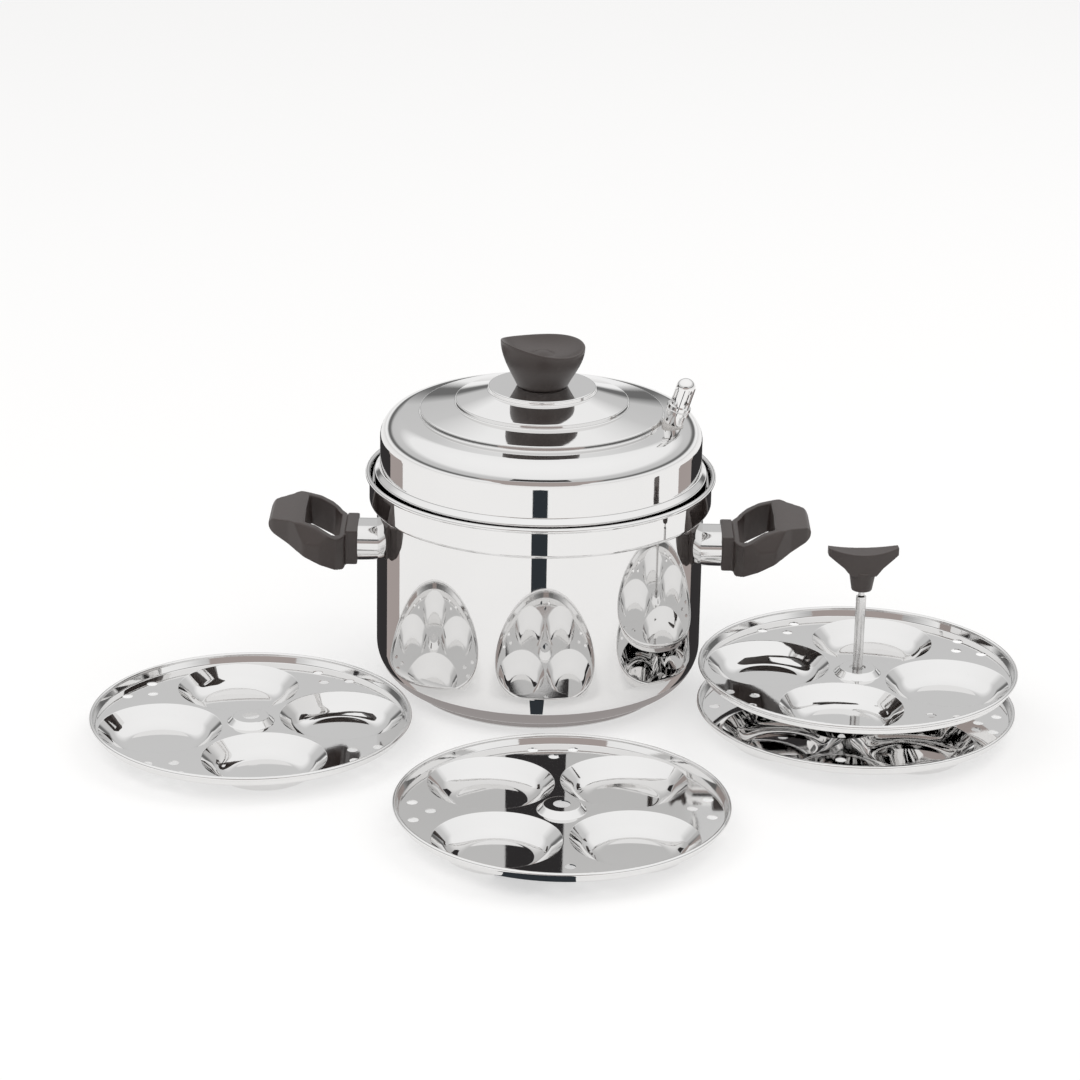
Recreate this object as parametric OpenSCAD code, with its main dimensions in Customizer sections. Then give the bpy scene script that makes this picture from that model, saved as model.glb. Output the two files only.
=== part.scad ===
// Idli steamer: a stainless steel pot on a sandwich base, a stepped lid with a steam vent, two side
// handles, two loose idli plates and a rack that carries two more.
// Millimetres, +Z up. The origin is the middle of the pot's base, and the handles lie along X.

/* [Pot] */
// Outside diameter of the pot's body
pot_d = 221; // [190:1:250]
// Thickness of the pot's steel sheet
pot_wall = 0.8; // [0.6:0.1:1.5]
// Height of the ledge that the lid rests on, above the table
ledge_z = 132; // [110:1:170]
// Radius of the bend between the pot's wall and its floor
floor_bend = 28; // [18:1:40]
// How far the collar above the ledge stands out from the body
collar_out = 5; // [4:0.5:7]
// Height of the rolled rim's middle above the ledge
collar_h = 19; // [12:1:28]
// Thickness of the rolled rim
rim_bead = 3.4; // [2:0.2:5]
// Radius of the bend where the collar turns in to the ledge
collar_bend = 2.6; // [1.5:0.1:3]

/* [Base] */
// Diameter of the sandwich base
base_d = 176; // [120:1:190]
// Height of the sandwich base
base_h = 4; // [3:0.5:8]
// Thickness of the steel cap round the base's core
cap_wall = 0.8; // [0.5:0.1:1.2]

/* [Handles] */
// Depth of the handles' middle below the ledge
handle_drop = 31; // [24:1:40]
// Width of the steel sleeve between pot and grip
sleeve_w = 36; // [30:1:40]
// Height of the steel sleeve
sleeve_h = 24; // [20:1:26]
// Wall of the steel sleeve
sleeve_wall = 1.2; // [0.8:0.1:2]
// Distance from the pot's wall to the grip
sleeve_len = 12.5; // [9:0.5:20]
// Thickness of the bracket plate that is welded to the pot
plate_weld = 1; // [0.8:0.1:2]
// Reach of a grip beyond its sleeve
grip_reach = 60; // [50:1:70]
// Width of a grip at its widest
grip_w = 76; // [70:1:90]
// Diameter of the screw that holds a grip
grip_screw_d = 5; // [4:0.5:6]

/* [Lid] */
// Thickness of the lid's steel sheet
lid_wall = 0.7; // [0.5:0.1:1.2]
// Gap all round between the lid's lowest band and the pot's collar
lid_gap = 2.7; // [1:0.1:4]
// Height of the lid's lowest band above the ledge
band_h = 21.5; // [15:0.5:30]
// How far the lid's skirt stands in from its lowest band
joggle = 3.6; // [2:0.1:5]
// Height of the lid's shoulder above the ledge
shoulder_h = 58.8; // [45:0.5:75]
// Radius of the lid's shoulder
shoulder_bend = 16; // [10:1:18]
// Diameters of the three steps in the lid's crown
crown_d = [163.6, 116.2, 72.4];
// Rise of the sloping ring outside each step
ring_rise = [2.5, 3.8, 5.9];
// Height of each step's riser
riser_h = 3.2; // [2:0.2:5]

/* [Lid knob] */
// Diameter of the knob's foot
knob_foot_d = 33.8; // [28:0.2:40]
// Diameter of the knob's lip
knob_top_d = 56.6; // [48:0.2:66]
// Mean height of the knob's lip above the lid
knob_h = 28.8; // [22:0.2:36]
// Depth of the thumb bowl in the knob's top
bowl_depth = 7; // [4:0.5:10]
// Rise and fall of the knob's wavy lip
lip_wave = 2.2; // [0:0.1:3]
// Diameter of the knob's screw
knob_screw_d = 5; // [4:0.5:6]
// Diameter of the brass insert in the knob
insert_d = 9; // [8:0.5:12]
// Length of the brass insert in the knob
insert_len = 12; // [8:1:16]

/* [Steam vent] */
// Distance of the vent's axis in from the lid's skirt
vent_in = 19.1; // [17:0.1:22]
// Bearing of the vent round the lid
vent_bearing = -13; // [-180:1:180]
// Outward lean of the vent
vent_lean = 17; // [8:1:20]
// Diameter of the vent's stem above the lid
stem_d = 12.5; // [10:0.5:15]
// Height of the vent's stem
stem_h = 8; // [5:0.5:12]
// Diameter of the vent's grooved collar
vent_collar_d = 16; // [14:0.5:20]
// Height of the vent's grooved collar
vent_collar_h = 5.5; // [4:0.5:8]
// Diameter of the vent's bullet-shaped cap
vent_cap_d = 13; // [12.5:0.5:16]
// Height of the vent's bullet-shaped cap
vent_cap_h = 19.5; // [16:0.5:26]
// Width of the steam slots in the cap
vent_slot = 3.6; // [2:0.2:4]
// Bore of the vent
vent_bore = 4.5; // [3:0.5:5]

/* [Idli plates] */
// Outside diameter of a plate's rolled rim
plate_d = 212; // [206:1:230]
// Thickness of a plate's steel sheet
plate_wall = 0.7; // [0.5:0.1:1]
// Thickness of a plate's rolled rim
plate_bead = 3; // [2:0.2:4]
// Depth of the cups
cup_depth = 12; // [9:0.5:16]
// Diameter of a cup's mouth
cup_d = 81; // [70:0.5:82]
// Distance of the cups' middles from the plate's middle
cup_ring = 60; // [59:0.5:61]
// Height of the rolled rim's middle above the flat of the plate
plate_rim_h = 5; // [3:0.5:8]
// Diameter of the hole in a plate's hub
hub_hole_d = 11; // [9:0.5:13]
// Height of a plate's hub above the flat
hub_h = 4; // [2:0.5:6]
// Diameter of a steam hole
steam_d = 7; // [4:0.5:8]

/* [Where the plates lie] */
// Gap in plan between the pot and the left plate
left_gap = 1.5; // [1:0.5:60]
// Bearing of the left plate from the pot
left_bearing = 210.4; // [205:0.1:220]
// Turn of the left plate's cups
left_turn = 12.8; // [0:0.1:90]
// Gap in plan between the pot and the front plate
front_gap = 25.2; // [10:0.1:60]
// Bearing of the front plate from the pot
front_bearing = 274; // [268:0.1:280]
// Turn of the front plate's cups
front_turn = 48.6; // [0:0.1:90]
// Gap in plan between the pot and the rack
rack_gap = 9.5; // [8:0.1:60]
// Bearing of the rack from the pot
rack_bearing = 340.4; // [336:0.1:350]
// Turn of the rack's upper plate
upper_turn = 76; // [0:0.1:90]
// Turn of the rack's lower plate
lower_turn = 34; // [0:0.1:90]

/* [Rack] */
// Height from one plate of the rack to the next
rack_pitch = 28; // [24:0.5:40]
// Diameter of the rack's rod
rod_d = 6.6; // [5:0.2:8]
// Height of the rod's shoulder above the table
rod_top = 94.8; // [70:0.5:120]
// Diameter of the rod's threaded neck
neck_d = 4; // [3:0.5:5]
// Length of neck that shows between the rod and its knob
neck_show = 4.8; // [2:0.2:10]
// Outside diameter of the spacer between the plates
spacer_d = 14; // [12:0.5:18]
// Diameter of the foot that is screwed on the rod
foot_d = 16; // [13:0.5:20]
// Diameter of the washer on the foot
washer_d = 20; // [14:0.5:21]
// Thickness of the washers
washer_h = 1.2; // [0.6:0.2:2]

/* [Rack knob] */
// Length of the rack knob's wings from tip to tip
wing_len = 46.5; // [38:0.5:60]
// Width of the wings across their middle
wing_w = 16; // [14:0.5:20]
// Diameter of the rack knob's foot
tee_foot_d = 13.5; // [12:0.5:18]
// Diameter of the rack knob's neck where the wings begin
tee_neck_d = 18; // [16:0.5:20]
// Height of the rack knob's neck
tee_neck_h = 13.4; // [13:0.2:20]
// Height of the rack knob's tips above its foot
tee_h = 30; // [28:0.5:40]
// Dip of the rack knob's saddle below its tips
saddle = 3.6; // [0:0.2:6]
// Turn of the rack knob's wings
tee_turn = 4; // [0:1:90]

/* [Hidden] */

steel = [0.80, 0.80, 0.79];
bakelite = [0.27, 0.24, 0.23];
brass_tone = [0.78, 0.62, 0.32];
silicone = [0.75, 0.72, 0.68];

// Room left round a threaded or pressed piece, on the diameter
fit = 0.1;
// Radius of the base cap's lower edge
cap_bend = 2.4;
// Room between a bracket's plate and its sleeve, on the width
bracket_room = 1.2;
// Length of a bracket's boss
boss_len = 8.5;
// Depth of the grip's foot, where it meets the sleeve
grip_foot = 8;
// Heights between which the grip is at its widest
grip_belly = [-3, 8];
// Distance from the sleeve to the finger hole
hole_start = 12;
// Length of the finger hole along the grip
hole_len = 23;
// Half the width of the finger hole at its top, and what each side gains towards its foot
hole_half = 26.5;
hole_flare = 4.5;
// Depth in the grip at which its screw's head seats
screw_seat = 6;
// Diameter and height of the screws' heads
screw_head_d = 9.4;
screw_head_h = 3;
// Radius of the small bends at the crown's risers
riser_bend = 0.9;
// Thickness of the lid knob's lip
lip_in = 1.8;
// Radius and height of the dome in the middle of the knob's bowl
dome_r = 8.5;
dome_h = 2.6;
// Threaded spigot of the vent under the lid, and the gasket on the lid
spigot_d = 9;
spigot_len = 7;
gasket_h = 1.6;
gasket_d = stem_d + 2;
// The hub of a plate at its top and at its foot
hub_top_d = 23.6;
hub_foot_d = 31;
// Width of the flat lip round a cup's mouth
cup_lip = 0.5;
// Distance of the outer steam holes from a plate's middle
steam_ring = 94;
// Height of the rod's lower end
rod_foot_z = 3;
// Width and height of the rack knob's wing at its tips
wing_tip_w = 6;
wing_tip_h = 5.4;
// Diameter of the rack knob's brass insert
tee_insert_d = 7.5;
// Overshoot of a cut past the face that it opens
past = 1;

pot_r = pot_d / 2;
collar_r = pot_r + collar_out;
rim_z = ledge_z + collar_h;
band_r = collar_r - pot_wall - lid_gap;
skirt_r = band_r - joggle;
shoulder_z = ledge_z + shoulder_h;
ring_slope = ring_rise[0] / (skirt_r - crown_d[0] / 2);
lid_top = shoulder_z + ring_rise[0] + ring_rise[1] + ring_rise[2] + 3 * riser_h;
// The vent's gasket stays clear of the lid's first step
vent_r = max(skirt_r - vent_in, crown_d[0] / 2 + gasket_d / 2 + fit);
vent_z = shoulder_z + ring_slope * (skirt_r - vent_r);
handle_z = ledge_z - handle_drop;
// The sleeve's ends are almost half round, and its bracket follows them inside
sleeve_round = sleeve_h / 2 - 1;
bracket_round = sleeve_round - sleeve_wall - bracket_room / 2;
flat_z = cup_depth;
hub_z = flat_z + hub_h;
plate_r = plate_d / 2;
rim_foot_r = plate_r - plate_bead - 1;
grip_x = pot_r + sleeve_len;

// Lines and rounding

function unit(v) = v / norm(v);
function left_of(v) = [-v[1], v[0]];
function last(list) = len(list) - 1;
function upside(list) = [for (i = [last(list):-1:0]) list[i]];

// The arc of radius r that rounds corner p between its neighbours a and b
function bend(a, p, b, r, n) =
    let (u = unit(a - p), v = unit(b - p), half = acos(u * v) / 2,
        c = p + unit(u + v) * r / sin(half),
        s = p + u * r / tan(half) - c, e = p + v * r / tan(half) - c,
        from = atan2(s[1], s[0]), turn = atan2(e[1], e[0]) - from,
        sweep = turn > 180 ? turn - 360 : turn < -180 ? turn + 360 : turn)
    [for (i = [0:n]) c + r * [cos(from + sweep * i / n), sin(from + sweep * i / n)]];

// An open line through [x, y, radius] corners; n steps on each bend
function rounded(c, n = 6) = [for (i = [0:last(c)])
    let (p = [c[i][0], c[i][1]], r = c[i][2])
    each i == 0 || i == last(c) || r == 0 ? [p]
        : bend([c[i - 1][0], c[i - 1][1]], p, [c[i + 1][0], c[i + 1][1]], r, n)];

// The same line moved by t to its left
function beside(line, t) = [for (i = [0:last(line)])
    let (j = max(i, 1), k = min(i + 1, last(line)),
        a = left_of(unit(line[j] - line[j - 1])), b = left_of(unit(line[k] - line[k - 1])),
        m = unit(a + b))
    line[i] + m * t / (m * a)];

// The outline of a sheet of thickness t on the left of a line
module sheet(line, t) polygon(concat(line, upside(beside(line, t))));

// A solid of revolution
module turned() rotate_extrude($fn = 144) children();

// A rectangle with round corners, centred
module soft_rect(w, h, r) {
    for (x = [-1, 1], y = [-1, 1])
        translate([x * (w / 2 - r), y * (h / 2 - r)]) circle(r, $fn = 48);
    square([w - 2 * r, h], center = true);
    square([w, h - 2 * r], center = true);
}

// A prism along +X, from x0, whose section is drawn with its first axis along Y
module along_x(x0, len) translate([x0, 0, 0]) rotate([90, 0, 90]) linear_extrude(len) children();

// A closed skin over rings of points, with a middle point at each end
module ring_skin(rings, first, last_point) {
    n = len(rings[0]);
    m = len(rings);
    points = concat([first], [for (ring = rings) each ring], [last_point]);
    sides = [for (i = [0:m - 2], j = [0:n - 1])
        let (a = 1 + i * n + j, b = 1 + i * n + (j + 1) % n)
        each [[a, a + n, b + n], [a, b + n, b]]];
    foot = [for (j = [0:n - 1]) [0, 1 + j, 1 + (j + 1) % n]];
    top = [for (j = [0:n - 1]) [m * n + 1, 1 + (m - 1) * n + (j + 1) % n, 1 + (m - 1) * n + j]];
    polyhedron(points, concat(sides, foot, top));
}

// Pot

pot_line = rounded([[0, base_h, 0], [pot_r, base_h, floor_bend],
    [pot_r, ledge_z - pot_wall, 0.8], [collar_r, ledge_z - pot_wall, collar_bend], [collar_r, rim_z, 0]]);

module pot_shell() color(steel) turned() {
    sheet(pot_line, pot_wall);
    translate([collar_r - pot_wall + rim_bead / 2, rim_z]) circle(d = rim_bead, $fn = 48);
}

// The sandwich base: an aluminium core in a steel cap, pressed on under the pot's floor

module base_core() color(steel) turned()
    polygon(rounded([[0, cap_wall, 0], [base_d / 2 - cap_wall, cap_wall, cap_bend - cap_wall],
        [base_d / 2 - cap_wall, base_h, 0], [0, base_h, 0]]));

module base_cap() color(steel) turned()
    sheet(rounded([[0, 0, 0], [base_d / 2, 0, cap_bend], [base_d / 2, base_h, 0]]), cap_wall);

// Handles: each is drawn on the +X side at the height of its middle, and mirrored for the left

module on_side(left) mirror([left ? 1 : 0, 0, 0]) translate([0, 0, handle_z]) children();

// The bracket: a curved plate on the pot's wall with a threaded boss
module bracket() color(steel) difference() {
    union() {
        intersection() {
            difference() {
                cylinder(r = pot_r + plate_weld, h = sleeve_h, center = true, $fn = 144);
                cylinder(r = pot_r, h = sleeve_h + past, center = true, $fn = 144);
            }
            along_x(0, pot_r + plate_weld)
                soft_rect(sleeve_w - 2 * sleeve_wall - bracket_room, sleeve_h - 2 * sleeve_wall - bracket_room,
                    bracket_round);
        }
        along_x(pot_r + plate_weld / 2, boss_len) circle(d = grip_screw_d + 4, $fn = 48);
    }
    along_x(pot_r + plate_weld, boss_len) circle(d = grip_screw_d + fit, $fn = 48);
}

module sleeve() color(steel) difference() {
    along_x(pot_r * 0.9, grip_x - pot_r * 0.9) difference() {
        soft_rect(sleeve_w, sleeve_h, sleeve_round);
        soft_rect(sleeve_w - 2 * sleeve_wall, sleeve_h - 2 * sleeve_wall, sleeve_round - sleeve_wall);
    }
    cylinder(r = pot_r, h = sleeve_h + past, center = true, $fn = 144);
}

// The grip: a winged loop, wide and low at its foot, that climbs and narrows outwards
module grip() color(bakelite) difference() {
    translate([grip_x, 0, 0]) intersection() {
        linear_extrude(2 * sleeve_w, center = true) polygon(grip_plan);
        rotate([90, 0, 0]) linear_extrude(2 * grip_w, center = true) polygon(grip_side);
        along_x(0, 2 * grip_reach) polygon(grip_front);
    }
    translate([grip_x, 0, 0]) finger_hole();
    along_x(grip_x - past, hole_start + 2 * past) circle(d = grip_screw_d + 2 * fit, $fn = 48);
    along_x(grip_x + screw_seat, hole_start) circle(d = screw_head_d + 2 * fit, $fn = 48);
}

// Half of the grip's plan from foot to tip: distance out, half width, corner radius
grip_half = [[0, sleeve_w / 2 + 1, 0], [grip_foot, sleeve_w / 2 + 1, 0], [grip_foot + 0.6, 23, 0],
    [14, 33, 4], [24, grip_w / 2 + 0.5, 5], [35, grip_w / 2, 5], [46, 27.5, 12], [grip_reach, 19, 9],
    [grip_reach, 0, 0]];
grip_line = rounded(grip_half);
grip_plan = concat(grip_line, [for (p = upside(grip_line)) [p[0], -p[1]]]);

// The grip from the side: distance out, height above its middle, corner radius
grip_side = rounded([[0, -sleeve_h / 2, 0], [grip_foot, -sleeve_h / 2, 0], [grip_foot + 1, -sleeve_h / 2 - 2, 1.5],
    [21, -7.4, 20], [34, -0.6, 12], [grip_reach - 4, 10, 3], [grip_reach + 1, 14, 4], [grip_reach - 2, 20.6, 4],
    [40, 22.8, 20], [27, 19, 10], [grip_foot + 5, sleeve_h / 2 - 2, 4], [grip_foot, sleeve_h / 2 - 2, 0],
    [grip_foot, sleeve_h / 2, 0], [0, sleeve_h / 2, 0]]);

// The grip from its outer end: half width, height above its middle, corner radius
grip_front_half = rounded([[grip_w / 2 - 4, -sleeve_h, 0], [grip_w / 2 + 0.5, grip_belly[0], 8],
    [grip_w / 2 + 0.5, grip_belly[1], 8], [grip_w / 2 - 7, sleeve_h, 0]]);
grip_front = concat(grip_front_half, [for (p = upside(grip_front_half)) [-p[0], p[1]]]);

// The finger hole is a round-ended slot that widens downwards
hole_top = [[hole_start, 20], [hole_start + 4, hole_half], [hole_start + hole_len, hole_half],
    [hole_start + hole_len + 0.5, 0]];
hole_foot = [[hole_start + 1, 21], [hole_start + 7, hole_half + 3], [hole_start + hole_len - 2, hole_half + hole_flare],
    [hole_start + hole_len, 0]];

module finger_hole() hull() {
    translate([0, 0, sleeve_h]) linear_extrude(past)
        polygon(concat(hole_top, [for (p = upside(hole_top)) [p[0], -p[1]]]));
    translate([0, 0, -sleeve_h / 2 - 2 - past]) linear_extrude(past)
        polygon(concat(hole_foot, [for (p = upside(hole_foot)) [p[0], -p[1]]]));
}

module grip_screw() color(steel) {
    along_x(pot_r + plate_weld + 0.5, grip_x + screw_seat - pot_r - plate_weld - 0.5)
        circle(d = grip_screw_d, $fn = 48);
    difference() {
        along_x(grip_x + screw_seat, screw_head_h) circle(d = screw_head_d, $fn = 48);
        along_x(grip_x + screw_seat + screw_head_h - 1, 1 + past) square([1, screw_head_d + past], center = true);
    }
}

module left_handle_bracket() on_side(true) bracket();
module left_handle_sleeve() on_side(true) sleeve();
module left_handle_grip() on_side(true) grip();
module left_handle_screw() on_side(true) grip_screw();
module right_handle_bracket() on_side(false) bracket();
module right_handle_sleeve() on_side(false) sleeve();
module right_handle_grip() on_side(false) grip();
module right_handle_screw() on_side(false) grip_screw();

// Lid

crown_1 = shoulder_z + ring_rise[0];
crown_2 = crown_1 + riser_h + ring_rise[1];
crown_3 = crown_2 + riser_h + ring_rise[2];
lid_line = rounded([[band_r, ledge_z, 0], [band_r, ledge_z + band_h, 1.6], [skirt_r, ledge_z + band_h + 3, 1.6],
    [skirt_r, shoulder_z, shoulder_bend],
    [crown_d[0] / 2, crown_1, riser_bend], [crown_d[0] / 2, crown_1 + riser_h, riser_bend],
    [crown_d[1] / 2, crown_2, riser_bend], [crown_d[1] / 2, crown_2 + riser_h, riser_bend],
    [crown_d[2] / 2, crown_3, riser_bend], [crown_d[2] / 2, crown_3 + riser_h, riser_bend],
    [knob_screw_d / 2 + fit, lid_top, 0]]);

module lid_shell() color(steel) difference() {
    turned() sheet(lid_line, lid_wall);
    at_vent() cylinder(d = spigot_d + 2 * fit, h = 4 * stem_h, center = true, $fn = 48);
}

// All that lies under the lid's outer face, or under its inner face where t is the sheet's thickness
module under_lid(t) turned() polygon(concat([[0, ledge_z]], beside(lid_line, t), [[0, lid_top - t]]));

// Lid knob: a round cup-topped knob whose lip rises and falls

function lip_z(a) = knob_h + lip_wave * (1.1 * cos(a - 200) + 0.9 * cos(2 * (a - 215)));
function flare(k) = (knob_foot_d + (knob_top_d - knob_foot_d) * pow(sin(90 * k), 1.2)) / 2;
function bowl_z(r, a) = let (s = r / (knob_top_d / 2 - lip_in))
    knob_h - bowl_depth * (1 - pow(s, 3)) + (lip_z(a) - knob_h) * pow(s, 2) + dome_h * max(0, 1 - pow(r / dome_r, 2));
function round_ring(r, a, z) = [r * cos(a), r * sin(a), z];

knob_turns = [for (a = [0:7.5:359]) a];
knob_rings = concat(
    [[for (a = knob_turns) round_ring(knob_foot_d / 2 - 0.5, a, 0)]],
    [for (k = [0.02, 0.15, 0.3, 0.45, 0.6, 0.75, 0.9]) [for (a = knob_turns) round_ring(flare(k), a, lip_z(a) * k)]],
    [[for (a = knob_turns) round_ring(flare(1), a, lip_z(a) - 0.9)]],
    [[for (a = knob_turns) round_ring(flare(1) - lip_in / 2, a, lip_z(a))]],
    [for (r = [1, 0.85, 0.7, 0.5, 0.3, 0.15] * (knob_top_d / 2 - lip_in)) [for (a = knob_turns) round_ring(r, a, bowl_z(r, a))]]);

module lid_knob() color(bakelite) translate([0, 0, lid_top]) difference() {
    ring_skin(knob_rings, [0, 0, 0], [0, 0, bowl_z(0, 0)]);
    translate([0, 0, -past]) cylinder(d = insert_d, h = insert_len + past, $fn = 48);
}

module lid_knob_insert() color(brass_tone) translate([0, 0, lid_top]) difference() {
    cylinder(d = insert_d, h = insert_len, $fn = 48);
    translate([0, 0, -past]) cylinder(d = knob_screw_d + fit, h = insert_len, $fn = 48);
}

module lid_knob_washer() color(steel) translate([0, 0, lid_top - lid_wall - washer_h]) difference() {
    cylinder(d = knob_screw_d + 9, h = washer_h, $fn = 48);
    translate([0, 0, -past]) cylinder(d = knob_screw_d + 2 * fit, h = washer_h + 2 * past, $fn = 48);
}

module lid_knob_screw() color(steel) translate([0, 0, lid_top - lid_wall - washer_h]) difference() {
    union() {
        cylinder(d = knob_screw_d, h = lid_wall + washer_h + insert_len - 3, $fn = 48);
        translate([0, 0, -screw_head_h]) cylinder(d = screw_head_d, h = screw_head_h, $fn = 48);
    }
    translate([0, 0, -screw_head_h]) cube([1, screw_head_d + past, 2], center = true);
}

// Steam vent, drawn along its own axis from the lid's face

module at_vent() rotate([0, 0, vent_bearing]) translate([vent_r, 0, vent_z]) rotate([0, vent_lean, 0]) children();

stem_top = gasket_h + stem_h;
collar_top = stem_top + vent_collar_h;
nozzle_d = vent_cap_d - 5;

module vent_stem() color(steel) at_vent() difference() {
    union() {
        translate([0, 0, -spigot_len]) cylinder(d = spigot_d, h = spigot_len + gasket_h, $fn = 48);
        translate([0, 0, gasket_h]) cylinder(d = stem_d, h = stem_h, $fn = 48);
        cylinder(d = nozzle_d, h = collar_top + vent_cap_h / 2, $fn = 48);
    }
    translate([0, 0, -spigot_len - past]) cylinder(d = vent_bore, h = 3 * vent_cap_h + spigot_len, $fn = 48);
}

module vent_gasket() color(silicone) difference() {
    at_vent() difference() {
        translate([0, 0, -gasket_h]) cylinder(d = gasket_d, h = 2 * gasket_h, $fn = 48);
        cylinder(d = spigot_d + 2 * fit, h = 4 * gasket_h, center = true, $fn = 48);
    }
    under_lid(0);
}

module vent_locknut() color(steel) intersection() {
    at_vent() difference() {
        translate([0, 0, 1 - spigot_len]) cylinder(d = stem_d + 3, h = spigot_len, $fn = 6);
        cylinder(d = spigot_d + fit, h = 3 * spigot_len, center = true, $fn = 48);
    }
    under_lid(lid_wall);
}

module vent_collar() color(steel) at_vent() difference() {
    translate([0, 0, stem_top]) cylinder(d = vent_collar_d, h = vent_collar_h, $fn = 72);
    translate([0, 0, stem_top - past]) cylinder(d = nozzle_d + fit, h = vent_collar_h + 2 * past, $fn = 48);
    translate([0, 0, stem_top + vent_collar_h / 2]) rotate_extrude($fn = 72)
        translate([vent_collar_d / 2, 0]) circle(d = vent_collar_h / 5, $fn = 24);
}

module vent_cap() color(steel) at_vent() translate([0, 0, collar_top]) difference() {
    union() {
        cylinder(d = vent_cap_d, h = vent_cap_h - vent_cap_d / 2, $fn = 72);
        translate([0, 0, vent_cap_h - vent_cap_d / 2]) sphere(d = vent_cap_d, $fn = 72);
    }
    translate([0, 0, -vent_cap_d]) cylinder(d = vent_cap_d * 2, h = vent_cap_d, $fn = 48);
    translate([0, 0, -past]) cylinder(d = nozzle_d + 1, h = vent_cap_h / 2 + 4 + past, $fn = 48);
    for (a = [0:90:270]) rotate([0, 0, a + 45]) translate([0, -vent_slot / 2, 3])
        cube([vent_cap_d, vent_slot, vent_cap_h / 2 + 1]);
}

// Idli plates

// The top face of the plate from its hub's hole to its rim
plate_line = rounded([[hub_hole_d / 2, hub_z, 0], [hub_top_d / 2, hub_z, 1.2], [hub_foot_d / 2, flat_z, 1.2],
    [rim_foot_r, flat_z, 1.2], [rim_foot_r + 1.3, flat_z + plate_rim_h, 0]]);
// The top face of a cup from its mouth to its middle
cup_line = rounded([[cup_d / 2 + cup_lip, flat_z, 0], [cup_d / 2, flat_z, 0.9],
    [cup_d / 2 - cup_depth, plate_wall, 18], [0, plate_wall, 0]], 8);

module plate(turn) color(steel) rotate([0, 0, turn]) {
    difference() {
        turned() {
            sheet(plate_line, -plate_wall);
            translate([plate_r - plate_bead / 2, flat_z + plate_rim_h]) circle(d = plate_bead, $fn = 48);
        }
        for (a = [0:90:270]) rotate([0, 0, a]) {
            translate([cup_ring, 0, 0])
                cylinder(r = cup_d / 2 + cup_lip, h = 2 * cup_depth, $fn = 144);
            for (p = [[steam_ring, 37], [steam_ring, 53], [steam_ring - 12, 45]])
                rotate([0, 0, p[1]]) translate([p[0], 0, 0]) cylinder(d = steam_d, h = 2 * cup_depth, $fn = 48);
        }
    }
    for (a = [0:90:270]) rotate([0, 0, a]) translate([cup_ring, 0, 0]) turned() sheet(cup_line, plate_wall);
}

// A plate or the rack stands at a gap and a bearing from the pot
module beside_pot(gap, bearing) rotate([0, 0, bearing]) translate([pot_r + gap + plate_r, 0, 0])
    rotate([0, 0, -bearing]) children();

module left_plate() beside_pot(left_gap, left_bearing) plate(left_turn);
module front_plate() beside_pot(front_gap, front_bearing) plate(front_turn);
module rack_lower_plate() on_rack() plate(lower_turn);
module rack_upper_plate() on_rack() translate([0, 0, rack_pitch]) plate(upper_turn);

// Rack: a rod on a screwed foot, which carries the lower plate, and a spacer under the upper one

module on_rack() beside_pot(rack_gap, rack_bearing) children();

hub_under = hub_z - plate_wall;
foot_h = hub_under - washer_h;

module rack_rod() color(steel) on_rack() {
    translate([0, 0, rod_foot_z]) cylinder(d = rod_d, h = rod_top - rod_foot_z, $fn = 48);
    translate([0, 0, rod_top]) cylinder(d1 = rod_d, d2 = neck_d, h = 0.8, $fn = 48);
    translate([0, 0, rod_top]) cylinder(d = neck_d, h = neck_show + insert_len - past, $fn = 48);
}

module rack_foot() color(steel) on_rack() difference() {
    turned() polygon(rounded([[0, 0, 0], [foot_d / 2, 0, 1], [foot_d / 2, foot_h, 0.6], [0, foot_h, 0]]));
    translate([0, 0, rod_foot_z]) cylinder(d = rod_d + fit, h = foot_h, $fn = 48);
}

module rack_washer() color(steel) on_rack() translate([0, 0, foot_h]) difference() {
    cylinder(d = washer_d, h = washer_h, $fn = 72);
    translate([0, 0, -past]) cylinder(d = rod_d + 2 * fit, h = washer_h + 2 * past, $fn = 48);
}

module rack_spacer() color(steel) on_rack() translate([0, 0, hub_z]) difference() {
    cylinder(d = spacer_d, h = rack_pitch - plate_wall, $fn = 72);
    translate([0, 0, -past]) cylinder(d = rod_d + 4 * fit, h = rack_pitch + past, $fn = 48);
}

// Rack knob: a round neck that spreads into two wings with a saddle between them

tee_z = rod_top + neck_show;
tee_under = rounded([[wing_len / 2, tee_h - wing_tip_h, 0], [tee_neck_d / 2 + 4, tee_neck_h + 3.4, 9],
    [tee_neck_d / 2 - 0.6, tee_neck_h - 2, 0]]);
tee_side = concat([for (x = [-1:0.125:1]) [x * wing_len / 2, tee_h - saddle * (1 - x * x)]],
    tee_under, [for (p = upside(tee_under)) [-p[0], p[1]]]);
tee_plan = concat([for (x = [-1:0.125:1]) [x * wing_len / 2, wing_w / 2 - (wing_w - wing_tip_w) / 2 * x * x]],
    [for (x = [1:-0.125:-1]) [x * wing_len / 2, (wing_w - wing_tip_w) / 2 * x * x - wing_w / 2]]);

module rack_knob() color(bakelite) on_rack() translate([0, 0, tee_z]) rotate([0, 0, tee_turn]) difference() {
    union() {
        cylinder(d1 = tee_foot_d, d2 = tee_neck_d, h = tee_neck_h, $fn = 72);
        intersection() {
            linear_extrude(tee_h + past) polygon(tee_plan);
            rotate([90, 0, 0]) linear_extrude(2 * wing_w, center = true) polygon(tee_side);
        }
    }
    translate([0, 0, -past]) cylinder(d = tee_insert_d, h = insert_len + past, $fn = 48);
}

module rack_knob_insert() color(brass_tone) on_rack() translate([0, 0, tee_z]) difference() {
    cylinder(d = tee_insert_d, h = insert_len, $fn = 48);
    translate([0, 0, -past]) cylinder(d = neck_d + fit, h = insert_len + 2 * past, $fn = 48);
}

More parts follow.
